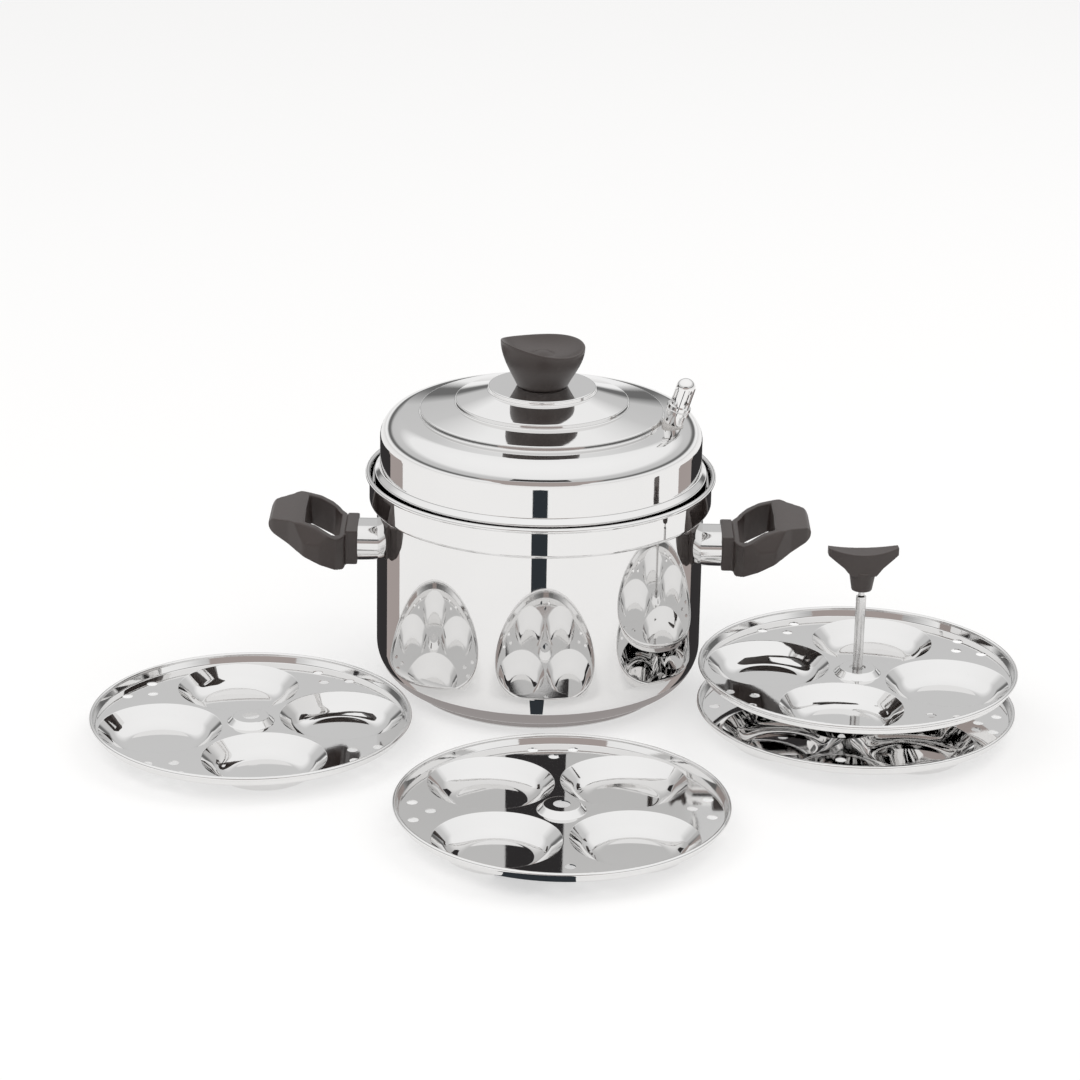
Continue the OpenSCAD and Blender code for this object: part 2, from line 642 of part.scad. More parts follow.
pot_shell();
base_core();
base_cap();
left_handle_bracket();
left_handle_sleeve();
left_handle_grip();
left_handle_screw();
right_handle_bracket();
right_handle_sleeve();
right_handle_grip();
right_handle_screw();
lid_shell();
lid_knob();
lid_knob_insert();
lid_knob_screw();
lid_knob_washer();
vent_stem();
vent_gasket();
vent_locknut();
vent_collar();
vent_cap();
left_plate();
front_plate();
rack_lower_plate();
rack_upper_plate();
rack_rod();
rack_foot();
rack_washer();
rack_spacer();
rack_knob();
rack_knob_insert();
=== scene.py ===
import math

import bmesh
import bpy
from mathutils import Matrix, Vector


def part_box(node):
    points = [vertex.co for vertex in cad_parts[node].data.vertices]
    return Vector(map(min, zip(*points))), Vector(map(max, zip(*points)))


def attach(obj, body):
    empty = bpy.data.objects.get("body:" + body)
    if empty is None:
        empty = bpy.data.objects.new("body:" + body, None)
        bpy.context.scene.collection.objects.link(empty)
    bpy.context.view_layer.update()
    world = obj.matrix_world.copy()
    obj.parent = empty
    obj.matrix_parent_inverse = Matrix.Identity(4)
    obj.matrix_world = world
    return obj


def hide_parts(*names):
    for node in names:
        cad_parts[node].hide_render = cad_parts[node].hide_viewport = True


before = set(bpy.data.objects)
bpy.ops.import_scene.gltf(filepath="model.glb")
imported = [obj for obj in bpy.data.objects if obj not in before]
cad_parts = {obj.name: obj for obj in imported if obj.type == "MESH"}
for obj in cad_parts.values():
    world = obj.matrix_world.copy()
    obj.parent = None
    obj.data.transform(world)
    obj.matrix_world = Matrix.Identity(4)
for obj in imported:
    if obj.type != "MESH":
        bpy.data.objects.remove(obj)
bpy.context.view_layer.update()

# The place: a white table under soft light, seen from a little above, as in the photograph.
# The camera's lens, height, distance and tilt were fitted to the rims of the plates and the pot.

CAMERA_LENS = 117.5
CAMERA_PLACE = (0.0003, -2.247, 0.932)
CAMERA_DOWN = math.radians(20.27)
CAMERA_ROLL = math.radians(1.01)

scene = bpy.context.scene
scene.view_settings.view_transform = "Standard"
camera_data = bpy.data.cameras.new("camera")
camera_data.sensor_width = 36
camera_data.lens = CAMERA_LENS
camera_data.clip_end = 200
camera = bpy.data.objects.new("camera", camera_data)
scene.collection.objects.link(camera)
camera.matrix_world = (Matrix.Translation(CAMERA_PLACE)
                       @ Matrix.Rotation(math.pi / 2 - CAMERA_DOWN, 4, "X")
                       @ Matrix.Rotation(CAMERA_ROLL, 4, "Z"))
scene.camera = camera


class Value:
    """A shader socket that takes part in sums: each operator adds its Math node."""

    def __init__(self, graph, socket):
        self.graph = graph
        self.socket = socket

    def math(self, operation, *values):
        return self.graph.node("ShaderNodeMath", {"operation": operation}, dict(enumerate(values)))

    def __add__(self, other):
        return self.math("ADD", self, other)

    def __sub__(self, other):
        return self.math("SUBTRACT", self, other)

    def __rsub__(self, other):
        return self.math("SUBTRACT", other, self)

    def __mul__(self, other):
        return self.math("MULTIPLY", self, other)

    def __truediv__(self, other):
        return self.math("DIVIDE", self, other)

    def __pow__(self, other):
        return self.math("POWER", self, other)

    __radd__ = __add__
    __rmul__ = __mul__

    def larger(self, other):
        return self.math("MAXIMUM", self, other)


class Graph:
    """The nodes of one material or of the world."""

    def __init__(self, tree):
        self.tree = tree
        tree.nodes.clear()

    def node(self, kind, settings=None, values=None, out=0):
        made = self.tree.nodes.new(kind)
        for name, setting in (settings or {}).items():
            if name == "stops":
                for place, (position, level) in enumerate(setting):
                    stop = (made.color_ramp.elements[place] if place < 2
                            else made.color_ramp.elements.new(position))
                    stop.position = position
                    stop.color = (level, level, level, 1)
            else:
                setattr(made, name, setting)
        for name, value in (values or {}).items():
            if isinstance(value, Value):
                self.tree.links.new(value.socket, made.inputs[name])
            else:
                made.inputs[name].default_value = value
        return Value(self, made.outputs[out]) if made.outputs else made

    def blend(self, factor, first, second):
        return self.node("ShaderNodeMix", {"data_type": "RGBA"}, {0: factor, 6: first, 7: second}, 2)

    def place(self):
        return self.node("ShaderNodeTexCoord", out="Object")

    def noise(self, place, scale, detail=3.0, stretch=(1, 1, 1)):
        moved = self.node("ShaderNodeMapping", None, {"Vector": place, "Scale": stretch})
        values = {"Vector": moved, "Scale": scale, "Detail": detail}
        return self.node("ShaderNodeTexNoise", None, values, "Fac")

    def bump(self, height, strength, distance):
        return self.node("ShaderNodeBump", None,
                         {"Height": height, "Strength": strength, "Distance": distance}, "Normal")

    def surface(self, values):
        shader = self.node("ShaderNodeBsdfPrincipled", None, values)
        self.node("ShaderNodeOutputMaterial", None, {"Surface": shader})


def grey(level, warmth=0.0):
    """A grey, a little redder than blue where it has warmth."""
    return (level + warmth, level, level - warmth, 1)


def glow_strength(graph, straight, mirrored):
    """How strongly a sheet glows for the camera and through glass, and how strongly for mirrors."""
    direct = graph.node("ShaderNodeLightPath", out="Is Camera Ray")
    through = graph.node("ShaderNodeLightPath", out="Is Transmission Ray")
    glossy = graph.node("ShaderNodeLightPath", out="Is Glossy Ray")
    return direct.larger(through) * straight + glossy * mirrored


AMBIENT = 0.66
ROOM_HEIGHTS = [(0.0, 0.97), (0.08, 0.92), (0.14, 0.16), (0.20, 0.16), (0.27, 0.60), (0.42, 0.64),
                (0.56, 0.95), (1.0, 1.0)]

world = bpy.data.worlds.new("studio")
scene.world = world
world.use_nodes = True
room = Graph(world.node_tree)
direction = room.node("ShaderNodeTexCoord", out="Generated")
height = room.node("ShaderNodeSeparateXYZ", None, {0: direction}, "Z")
tone = room.node("ShaderNodeValToRGB", {"stops": ROOM_HEIGHTS}, {0: height}, "Color")
camera_ray = room.node("ShaderNodeLightPath", out="Is Camera Ray")
mirrored = room.node("ShaderNodeLightPath", out="Is Glossy Ray")
plain = room.blend(mirrored, grey(AMBIENT), tone)
sky = room.blend(camera_ray, plain, grey(1.0))
background = room.node("ShaderNodeBackground", None, {"Color": sky, "Strength": 1.0})
room.node("ShaderNodeOutputWorld", None, {"Surface": background})


def stage_sheet(name, corners, material):
    """A flat stage piece over the given corners."""
    mesh = bmesh.new()
    mesh.faces.new([mesh.verts.new(corner) for corner in corners])
    data = bpy.data.meshes.new(name)
    mesh.to_mesh(data)
    mesh.free()
    sheet = bpy.data.objects.new(name, data)
    scene.collection.objects.link(sheet)
    data.materials.append(material)
    return sheet


TABLE_GLOW = 0.55
TABLE_MIRRORED = 0.50
TABLE_TONE = 0.455
TABLE_WARMTH = 0.005
TABLE_REACH = 30

table_paint = bpy.data.materials.new("table_white")
table_paint.use_nodes = True
table_graph = Graph(table_paint.node_tree)
matte = table_graph.node("ShaderNodeBsdfDiffuse", None, {"Color": grey(TABLE_TONE, TABLE_WARMTH)})
glow = table_graph.node("ShaderNodeEmission", None, {
    "Color": grey(1.0), "Strength": glow_strength(table_graph, TABLE_GLOW, TABLE_MIRRORED)})
both = table_graph.node("ShaderNodeAddShader", None, {0: matte, 1: glow})
table_graph.node("ShaderNodeOutputMaterial", None, {"Surface": both})
stage_sheet("table", [(-TABLE_REACH, -TABLE_REACH, 0), (TABLE_REACH, -TABLE_REACH, 0),
                      (TABLE_REACH, TABLE_REACH, 0), (-TABLE_REACH, TABLE_REACH, 0)], table_paint)


def flag(name, corners, colour):
    """A dark card that only mirrors see: the studio cards, and the painted shade ring under the pot."""
    paint = bpy.data.materials.new(name)
    paint.use_nodes = True
    graph = Graph(paint.node_tree)
    light = graph.node("ShaderNodeEmission", None, {"Color": colour, "Strength": 1.0})
    graph.node("ShaderNodeOutputMaterial", None, {"Surface": light})
    card = stage_sheet(name, corners, paint)
    card.visible_camera = False
    card.visible_diffuse = False
    card.visible_shadow = False
    card.visible_transmission = False
    return card


def mirrored_card(name, corners, colour):
    """The same card lying on the table on both sides of the pot."""
    for side, turn in (("right", 1), ("left", -1)):
        flag(f"{side}_{name}", [(turn * x, y, CARD_LIFT) for x, y in corners], colour)


CARD_LIFT = 0.0004
STRIP_TONE = (0.030, 0.036, 0.042, 1)
MAUVE = (0.40, 0.35, 0.335, 1)
DARK = (0.035, 0.033, 0.034, 1)
SHADE = (0.34, 0.315, 0.31, 1)

flag("front_strip", [(-0.0048, -0.1112, 0.0004), (0.0048, -0.1112, 0.0004), (0.060, -0.70, 0.0004),
                     (0, -0.82, 0.0004), (-0.060, -0.70, 0.0004)], STRIP_TONE)
mirrored_card("mauve", [(0.094, -0.059), (0.723, 0.248), (0.589, 0.462), (0.1025, -0.041)], MAUVE)
mirrored_card("dark", [(0.1025, -0.041), (0.589, 0.462), (0.200, 0.690), (0.1110, -0.002)], DARK)
# Painted shade: a dark ring on the table under the pot's overhang, seen only in mirrors, so that the pot's
# lower bend reflects a contact shadow.
painted_shade_ring = [math.radians(5 * k) for k in range(73)]
flag("painted_shade_ring", [(0.1100 * math.sin(b), 0.1100 * math.cos(b), CARD_LIFT) for b in painted_shade_ring]
     + [(0.0885 * math.sin(b), 0.0885 * math.cos(b), CARD_LIFT) for b in reversed(painted_shade_ring)], SHADE)
flag("front_card", [(-1.4, -3.2, 0.1), (1.4, -3.2, 0.1), (3.3, -3.2, 1.15), (-3.3, -3.2, 1.15)], MAUVE)
flag("upper_card", [(-1.3, -3.2, 1.3), (1.3, -3.2, 1.3), (1.1, -3.2, 1.9), (-1.1, -3.2, 1.9)], DARK)

SOFTBOX = ((-1.6, -0.6, 2.4), (1.7, 0.7, 2.2), (0.1, -2.2, 2.6))
SOFTBOX_SIZE = 1.8
SOFTBOX_POWER = 16

for number, spot in enumerate(SOFTBOX):
    lamp_data = bpy.data.lights.new(f"softbox_{number}", "AREA")
    lamp_data.size = SOFTBOX_SIZE
    lamp_data.energy = SOFTBOX_POWER
    lamp = bpy.data.objects.new(f"softbox_{number}", lamp_data)
    scene.collection.objects.link(lamp)
    lamp.location = spot
    lamp.rotation_euler = (Vector((0, 0, 0.1)) - Vector(spot)).to_track_quat("-Z", "Y").to_euler()
    lamp.visible_glossy = False

# The steel: deep-drawn stainless sheet, polished to a mirror. The wheel leaves faint rings on what
# was spun and a little haze, and hands leave a few dull patches.


def polished(name, tone=0.86, haze=0.035, patch=0.05, rings=0.0, centre=(0, 0, 0), wave=0.0):
    """Mirror steel; rings is the strength of the polishing marks round the centre."""
    made = bpy.data.materials.new(name)
    made.use_nodes = True
    graph = Graph(made.node_tree)
    place = graph.node("ShaderNodeMapping", None, {
        "Vector": graph.place(), "Location": tuple(-value for value in centre)})
    patches = graph.noise(place, 18, 4)
    fine = graph.noise(place, 420, 2)
    split = graph.node("ShaderNodeVectorMath", {"operation": "LENGTH"},
                       {0: graph.node("ShaderNodeVectorMath", {"operation": "MULTIPLY"},
                                      {0: place, 1: (1, 1, 0)})}, "Value")
    upright = graph.node("ShaderNodeSeparateXYZ", None, {0: place}, "Z")
    grooves = graph.noise(graph.node("ShaderNodeCombineXYZ", None, {"X": split, "Z": upright}), 2600, 2)
    rough = haze + (patches - 0.42).larger(0) * patch + fine * 0.012 + grooves * rings * 0.05
    colour = graph.blend(patches, grey(tone, 0.004), grey(tone - 0.035, 0.006))
    relief = grooves * rings + graph.noise(place, 9, 1) * wave
    graph.surface({"Base Color": colour, "Metallic": 1.0, "Roughness": rough,
                   "Normal": graph.bump(relief, 0.25, 0.0004)})
    return made


def bend(before, corner, after, radius, steps):
    """The arc that rounds a corner of an outline."""
    to_before = (before - corner).normalized()
    to_after = (after - corner).normalized()
    half = to_before.angle(to_after) / 2
    centre = corner + (to_before + to_after).normalized() * (radius / math.sin(half))
    start = corner + to_before * (radius / math.tan(half)) - centre
    end = corner + to_after * (radius / math.tan(half)) - centre
    begin = math.atan2(start.y, start.x)
    turn = (math.atan2(end.y, end.x) - begin + math.pi) % (2 * math.pi) - math.pi
    return [centre + radius * Vector((math.cos(begin + turn * k / steps), math.sin(begin + turn * k / steps)))
            for k in range(steps + 1)]


def rounded(corners, steps=8):
    """An outline through (across, up, radius) corners in mm, with points that hold its straights."""
    flat = [Vector(corner[:2]) for corner in corners]
    runs = [[flat[0]]]
    for before, corner, after, raw in zip(flat, flat[1:], flat[2:], corners[1:]):
        runs.append(bend(before, corner, after, raw[2], steps) if raw[2] else [corner])
    runs.append([flat[-1]])
    line = list(runs[0])
    for run in runs[1:]:
        gap = run[0] - line[-1]
        if gap.length > 1.5:
            hold = gap.normalized() * min(0.35, gap.length / 4)
            line += [line[-1] + hold, run[0] - hold]
        line += run
    return line


def beside(line, offset):
    """The same outline moved to its left."""
    moved = []
    for place, point in enumerate(line):
        after = line[min(place + 1, len(line) - 1)] - line[min(place, len(line) - 2)]
        before = line[max(place, 1)] - line[max(place - 1, 0)]
        first = Vector((-before.y, before.x)).normalized()
        second = Vector((-after.y, after.x)).normalized()
        middle = (first + second).normalized()
        moved.append(point + middle * (offset / middle.dot(first)))
    return moved


def spun(mesh, outline, closed, steps=160, centre=(0, 0)):
    """Spins an outline in mm round the upright axis through the centre, in metres."""
    points = [mesh.verts.new((point.x / 1000 + centre[0], centre[1], point.y / 1000)) for point in outline]
    pairs = list(zip(points, points[1:])) + ([(points[-1], points[0])] if closed else [])
    edges = [mesh.edges.new(pair) for pair in pairs]
    bmesh.ops.spin(mesh, geom=points + edges, cent=(centre[0], centre[1], 0), axis=(0, 0, 1),
                   angle=2 * math.pi, steps=steps, use_merge=True)


def ring_outline(across, up, thick, steps=18):
    """A round bead's outline in mm. Half a step of turn keeps its points off the sheet's edge."""
    turns = [2 * math.pi * (k + 0.5) / steps for k in range(steps)]
    return [Vector((across + thick / 2 * math.cos(turn), up + thick / 2 * math.sin(turn))) for turn in turns]


def piece(name, mesh, material, body, nodes, sharp=35):
    """Makes the object of a finished mesh, smooths it, hangs it on its body and hides the solids it replaces.
    """
    bmesh.ops.remove_doubles(mesh, verts=mesh.verts, dist=2e-7)
    bmesh.ops.recalc_face_normals(mesh, faces=mesh.faces)
    data = bpy.data.meshes.new(name)
    mesh.to_mesh(data)
    mesh.free()
    made = bpy.data.objects.new(name, data)
    scene.collection.objects.link(made)
    data.materials.append(material)
    data.shade_smooth()
    data.set_sharp_from_angle(angle=math.radians(sharp))
    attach(made, body)
    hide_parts(*nodes)
    return made


# The pot: one shell drawn from 0.8 mm stainless steel sheet, with a ledge for the lid, a collar
# and a rim rolled outwards. It stands on its base and carries the handles.

POT_R = 110.5
SHEET = 0.8
LEDGE = 132
COLLAR_R = POT_R + 5
RIM_Z = LEDGE + 19
RIM_BEAD = 3.4
BASE_H = 4

pot_steel = polished("pot_polished_steel", haze=0.014, patch=0.03)
pot_mesh = bmesh.new()
pot_line = rounded([(0, BASE_H, 0), (POT_R, BASE_H, 28), (POT_R, LEDGE - SHEET, 0.8),
                    (COLLAR_R, LEDGE - SHEET, 2.6), (COLLAR_R, RIM_Z, 0)], 14)
spun(pot_mesh, pot_line + beside(pot_line, SHEET)[::-1], False)
spun(pot_mesh, ring_outline(COLLAR_R - SHEET + RIM_BEAD / 2, RIM_Z, RIM_BEAD), True)
piece("pot_body", pot_mesh, pot_steel, "pot", ["pot_shell"])

# The base: an aluminium core brazed under the pot's floor, closed in by a pressed steel cap with a
# satin face. The core doesn't show and keeps its own solid.

BASE_R = 88
CAP_WALL = 0.8

base_steel = polished("base_satin_steel", 0.80, 0.16, 0.10, 0.9)
base_mesh = bmesh.new()
base_line = rounded([(0, 0, 0), (BASE_R, 0, 2.4), (BASE_R, BASE_H, 0)], 8)
spun(base_mesh, base_line + beside(base_line, CAP_WALL)[::-1], False)
piece("base_plate", base_mesh, base_steel, "pot", ["base_cap"])

# The lid: a shell drawn from 0.7 mm stainless sheet, with a round shoulder and a crown in three
# steps. Its joggled band sits loose on the pot's ledge, inside the collar.

LID_WALL = 0.7
BAND_R = COLLAR_R - SHEET - 2.7
SKIRT_R = BAND_R - 3.6
BAND_TOP = LEDGE + 21.5
SHOULDER = LEDGE + 58.8
RISER = 3.2
CROWN = ((81.8, 2.5), (58.1, 3.8), (36.2, 5.9))

lid_steel = polished("lid_polished_steel", haze=0.018, patch=0.03, rings=0.04)
lid_corners = [(BAND_R, LEDGE, 0), (BAND_R, BAND_TOP, 1.6), (SKIRT_R, BAND_TOP + 3, 1.6),
               (SKIRT_R, SHOULDER, 16)]
level = SHOULDER
for crown_r, rise in CROWN:
    level += rise
    lid_corners += [(crown_r, level, 0.9), (crown_r, level + RISER, 0.9)]
    level += RISER
LID_TOP = level
lid_corners.append((2.6, LID_TOP, 0))
lid_line = rounded(lid_corners, 10)
lid_mesh = bmesh.new()
spun(lid_mesh, lid_line + beside(lid_line, LID_WALL)[::-1], True)
piece("lid_body", lid_mesh, lid_steel, "lid", ["lid_shell"])

# The bakelite: dark brown phenolic, compression moulded, with a satin skin, a faint mottle from the
# wood flour in it.


def bakelite(name):
    """Dark brown phenolic with a fine grain."""
    made = bpy.data.materials.new(name)
    made.use_nodes = True
    graph = Graph(made.node_tree)
    place = graph.place()
    mottle = graph.noise(place, 260, 4)
    cloud = graph.noise(place, 30, 2)
    base = graph.blend(cloud, (0.046, 0.036, 0.033, 1), (0.062, 0.048, 0.044, 1))
    colour = graph.blend((mottle - 0.62).larger(0) * 1.6, base, (0.105, 0.085, 0.078, 1))
    grain = graph.noise(place, 1500, 3)
    graph.surface({"Base Color": colour, "Roughness": 0.30 + cloud * 0.10 + mottle * 0.06,
                   "IOR": 1.55, "Normal": graph.bump(grain, 0.22, 0.00012)})
    return made


brown = bakelite("brown_bakelite")

# The lid's knob: a flared cup of bakelite whose lip rises at the back and left, hollowed for the
# fingers, with a low dome in the hollow. A screw from inside the lid holds it by a brass insert.

KNOB_FOOT = 16.9
KNOB_TOP = 28.3
KNOB_H = 28.8
LIP = 1.8
LIP_WAVE = 2.2
BOWL = 7
DOME_R = 8.5
DOME_H = 2.6


def lip_wave(bearing):
    """How far the lip rises above its mean height at a bearing."""
    return LIP_WAVE * (1.1 * math.cos(bearing - math.radians(200))
                       + 0.9 * math.cos(2 * (bearing - math.radians(215))))


knob_line = [Vector((0, 0)), Vector((KNOB_FOOT - 1.2, 0)), Vector((KNOB_FOOT - 0.6, 0.1)),
             Vector((KNOB_FOOT - 0.1, 0.6))]
for step in range(1, 19):
    share = step / 19 * 0.97
    flare = KNOB_FOOT + (KNOB_TOP - KNOB_FOOT) * math.sin(math.pi / 2 * share) ** 1.2
    knob_line.append(Vector((flare, KNOB_H * share)))
knob_line += [Vector((KNOB_TOP - 0.02, KNOB_H - 0.55)), Vector((KNOB_TOP - 0.25, KNOB_H - 0.18)),
              Vector((KNOB_TOP - 0.7, KNOB_H - 0.02)), Vector((KNOB_TOP - 1.2, KNOB_H - 0.1))]
for step in range(25):
    across = (KNOB_TOP - LIP) * (1 - step / 24)
    share = across / (KNOB_TOP - LIP)
    dome = DOME_H * max(0, 1 - (across / DOME_R) ** 2) ** 1.3
    knob_line.append(Vector((across, KNOB_H - 0.45 - (BOWL - 0.45) * (1 - share ** 3) + dome)))
knob_mesh = bmesh.new()
spun(knob_mesh, knob_line, False, 128)
bmesh.ops.remove_doubles(knob_mesh, verts=knob_mesh.verts, dist=2e-7)
for vertex in knob_mesh.verts:
    across = vertex.co.to_2d().length * 1000
    share = (across / KNOB_TOP) ** 2 * vertex.co.z * 1000 / KNOB_H
    bearing = math.atan2(vertex.co.y, vertex.co.x)
    vertex.co.z += (lip_wave(bearing) * share * 0.985 + LID_TOP) / 1000
piece("lid_knob_cup", knob_mesh, brown, "lid", ["lid_knob"], 50)

# The grips: moulded bakelite loops with a block at the sleeve, wings that climb outwards and a
# finger hole. A screw through the block holds each on its bracket. The mould rounds their edges.

GRIP_X = POT_R + 12.5
GRIP_Z = LEDGE - 31
GRIP_REACH = 60
SLEEVE_W = 36
SLEEVE_H = 24
GRIP_FOOT = 8
GRIP_W = 76


SIDEWAYS = Matrix.Rotation(math.pi / 2, 4, "X")
ENDWAYS = Matrix(((0, 0, 1, 0), (1, 0, 0, 0), (0, 1, 0, 0), (0, 0, 0, 1)))


def prism(mesh, outline, turn, half_width):
    """A closed prism over an outline, centred, then turned."""
    bottom = [mesh.verts.new((point[0], point[1], -half_width)) for point in outline]
    face = mesh.faces.new(bottom)
    grown = bmesh.ops.extrude_face_region(mesh, geom=[face])["geom"]
    risen = [item for item in grown if isinstance(item, bmesh.types.BMVert)]
    bmesh.ops.translate(mesh, verts=risen, vec=(0, 0, 2 * half_width))
    bmesh.ops.transform(mesh, matrix=turn, verts=mesh.verts)
    bmesh.ops.recalc_face_normals(mesh, faces=mesh.faces)


def helper(name, mesh):
    """A passing object that lends its shape to a modifier."""
    data = bpy.data.meshes.new(name)
    mesh.to_mesh(data)
    mesh.free()
    made = bpy.data.objects.new(name, data)
    scene.collection.objects.link(made)
    return made


def carved(name, start, cuts, voxel, smoothing):
    """The mesh of a solid after its cuts, remeshed and smoothed as a mould would round it."""
    for operation, tool in cuts:
        cut = start.modifiers.new("cut", "BOOLEAN")
        cut.operation = operation
        cut.object = tool
        cut.solver = "EXACT"
    remesh = start.modifiers.new("remesh", "REMESH")
    remesh.mode = "VOXEL"
    remesh.voxel_size = voxel
    smooth = start.modifiers.new("smooth", "SMOOTH")
    smooth.factor = 0.5
    smooth.iterations = smoothing
    bpy.context.view_layer.update()
    shown = start.evaluated_get(bpy.context.evaluated_depsgraph_get())
    result = bpy.data.meshes.new_from_object(shown)
    for thing in [start] + [tool for _, tool in cuts]:
        bpy.data.objects.remove(thing)
    mesh = bmesh.new()
    mesh.from_mesh(result)
    bpy.data.meshes.remove(result)
    return mesh


def mirrored_half(half):
    """An outline and its mirror image below the first axis, joined."""
    return ([(point[0], point[1]) for point in half]
            + [(point[0], -point[1]) for point in half[::-1] if abs(point[1]) > 0.01])


grip_half = rounded([
    (0, SLEEVE_W / 2 + 1, 0), (GRIP_FOOT, SLEEVE_W / 2 + 1, 0), (GRIP_FOOT + 0.6, 23, 0), (14, 33, 4),
    (24, GRIP_W / 2 + 0.5, 5), (35, GRIP_W / 2, 5), (46, 27.5, 12), (GRIP_REACH, 19, 9), (GRIP_REACH, 0, 0)])
grip_side = rounded([
    (0, -SLEEVE_H / 2, 0), (GRIP_FOOT, -SLEEVE_H / 2, 0), (GRIP_FOOT + 1, -SLEEVE_H / 2 - 2, 1.5),
    (21, -7.4, 20), (34, -0.6, 12), (GRIP_REACH - 4, 10, 3), (GRIP_REACH + 1, 14, 4),
    (GRIP_REACH - 2, 20.6, 4), (40, 22.8, 20), (27, 19, 10), (GRIP_FOOT + 5, SLEEVE_H / 2 - 2, 4),
    (GRIP_FOOT, SLEEVE_H / 2 - 2, 0), (GRIP_FOOT, SLEEVE_H / 2, 0), (0, SLEEVE_H / 2, 0)])
grip_front = rounded([
    (GRIP_W / 2 - 4, -SLEEVE_H, 0), (GRIP_W / 2 + 0.5, -3, 8), (GRIP_W / 2 + 0.5, 8, 8),
    (GRIP_W / 2 - 7, SLEEVE_H, 0)])
HOLE_TOP = [(12, 20), (16, 26.5), (35, 26.5), (35.5, 0)]
HOLE_FOOT = [(13, 21), (19, 29.5), (33, 31), (35, 0)]


def finger_hole():
    """The solid that is taken out of a grip for the fingers."""
    mesh = bmesh.new()
    rings = []
    for outline, up in ((HOLE_TOP, SLEEVE_H + 1), (HOLE_FOOT, -SLEEVE_H / 2 - 3)):
        rings.append([mesh.verts.new((x, y, up)) for x, y in mirrored_half(outline)])
    for ring in rings:
        mesh.faces.new(ring)
    mesh.edges.ensure_lookup_table()
    bmesh.ops.bridge_loops(mesh, edges=list(mesh.edges))
    bmesh.ops.recalc_face_normals(mesh, faces=mesh.faces)
    return helper("finger_hole", mesh)


def grip_shape():
    """The right grip in place: plan, side and front outlines crossed, less the finger hole."""
    plan = bmesh.new()
    prism(plan, mirrored_half(grip_half), Matrix.Identity(4), 50)
    side = bmesh.new()
    prism(side, [(point.x, point.y) for point in grip_side], SIDEWAYS, 60)
    front = bmesh.new()
    front_half = [(point.x, point.y) for point in grip_front]
    prism(front, front_half + [(-x, y) for x, y in front_half[::-1]], ENDWAYS, 90)
    mesh = carved("grip", helper("grip_plan", plan),
                  [("INTERSECT", helper("grip_side", side)), ("INTERSECT", helper("grip_front", front)),
                   ("DIFFERENCE", finger_hole())], 0.6, 7)
    bmesh.ops.scale(mesh, vec=(0.001, 0.001, 0.001), verts=mesh.verts)
    bmesh.ops.translate(mesh, vec=(GRIP_X / 1000, 0, GRIP_Z / 1000), verts=mesh.verts)
    return mesh


right_mesh = grip_shape()
left_mesh = right_mesh.copy()
bmesh.ops.scale(left_mesh, vec=(-1, 1, 1), verts=left_mesh.verts)
piece("right_grip", right_mesh, brown, "pot", ["right_handle_grip"], 80)
piece("left_grip", left_mesh, brown, "pot", ["left_handle_grip"], 80)

# The plates: 0.7 mm stainless sheet stamped with four dishes, a hub with a hole and steam holes,
# and a rim that flares up and rolls over. Two lie loose and two are held on the rack by their hubs.

PLATE_R = 106
PLATE_SHEET = 0.7
SKIN_GAP = 0.01
PLATE_BEAD = 3
CUP_R = 40.5
CUP_LIP = 0.5
CUP_RING = 60
FLAT = 12
HUB_Z = FLAT + 4
RIM_FOOT = PLATE_R - PLATE_BEAD - 1
STEAM = ((94, 37), (94, 53), (82, 45))
STEAM_R = 3.5


def circle_edges(mesh, across, bearing, radius, steps):
    """The edges of a round hole in the flat."""
    middle = Vector((across * math.cos(bearing), across * math.sin(bearing))) / 1000
    turned = [mesh.verts.new((middle.x + radius / 1000 * math.cos(2 * math.pi * k / steps),
                              middle.y + radius / 1000 * math.sin(2 * math.pi * k / steps), FLAT / 1000))
              for k in range(steps)]
    return [mesh.edges.new(pair) for pair in zip(turned, turned[1:] + turned[:1])]


def open_edges_at_flat(mesh):
    """The edges at the height of the flat that only one face uses."""
    return [edge for edge in mesh.edges if edge.is_boundary
            and all(abs(vert.co.z - FLAT / 1000) < 1e-7 for vert in edge.verts)]


def plate_skin():
    """The plate's upper face: spun hub, rim and dishes, joined by the flat with its steam holes."""
    mesh = bmesh.new()
    spun(mesh, rounded([(5.5, HUB_Z, 0), (11.8, HUB_Z, 1.2), (15.5, FLAT, 1.2), (16.8, FLAT, 0)]), False, 96)
    spun(mesh, rounded([(RIM_FOOT - 0.9, FLAT, 0), (RIM_FOOT, FLAT, 0.6),
                        (RIM_FOOT + 1.3, FLAT + 5, 0)], 6), False, 192)
    for quarter in range(4):
        bearing = quarter * math.pi / 2
        cup = bmesh.new()
        spun(cup, rounded([(CUP_R + CUP_LIP, FLAT, 0), (CUP_R, FLAT, 0.6), (CUP_R - FLAT, PLATE_SHEET, 18),
                           (0, PLATE_SHEET, 0)], 14), False, 96)
        bmesh.ops.translate(cup, vec=(CUP_RING / 1000, 0, 0), verts=cup.verts)
        bmesh.ops.rotate(cup, cent=(0, 0, 0), matrix=Matrix.Rotation(bearing, 3, "Z"), verts=cup.verts)
        bmesh.ops.remove_doubles(cup, verts=cup.verts, dist=2e-7)
        data = bpy.data.meshes.new("cup")
        cup.to_mesh(data)
        cup.free()
        mesh.from_mesh(data)
        bpy.data.meshes.remove(data)
    bmesh.ops.remove_doubles(mesh, verts=mesh.verts, dist=2e-7)
    edges = open_edges_at_flat(mesh)
    for quarter in range(4):
        for across, degrees in STEAM:
            edges += circle_edges(mesh, across, math.radians(degrees + 90 * quarter), STEAM_R, 24)
    bmesh.ops.triangle_fill(mesh, use_beauty=True, use_dissolve=False, edges=edges, normal=(0, 0, 1))
    return mesh


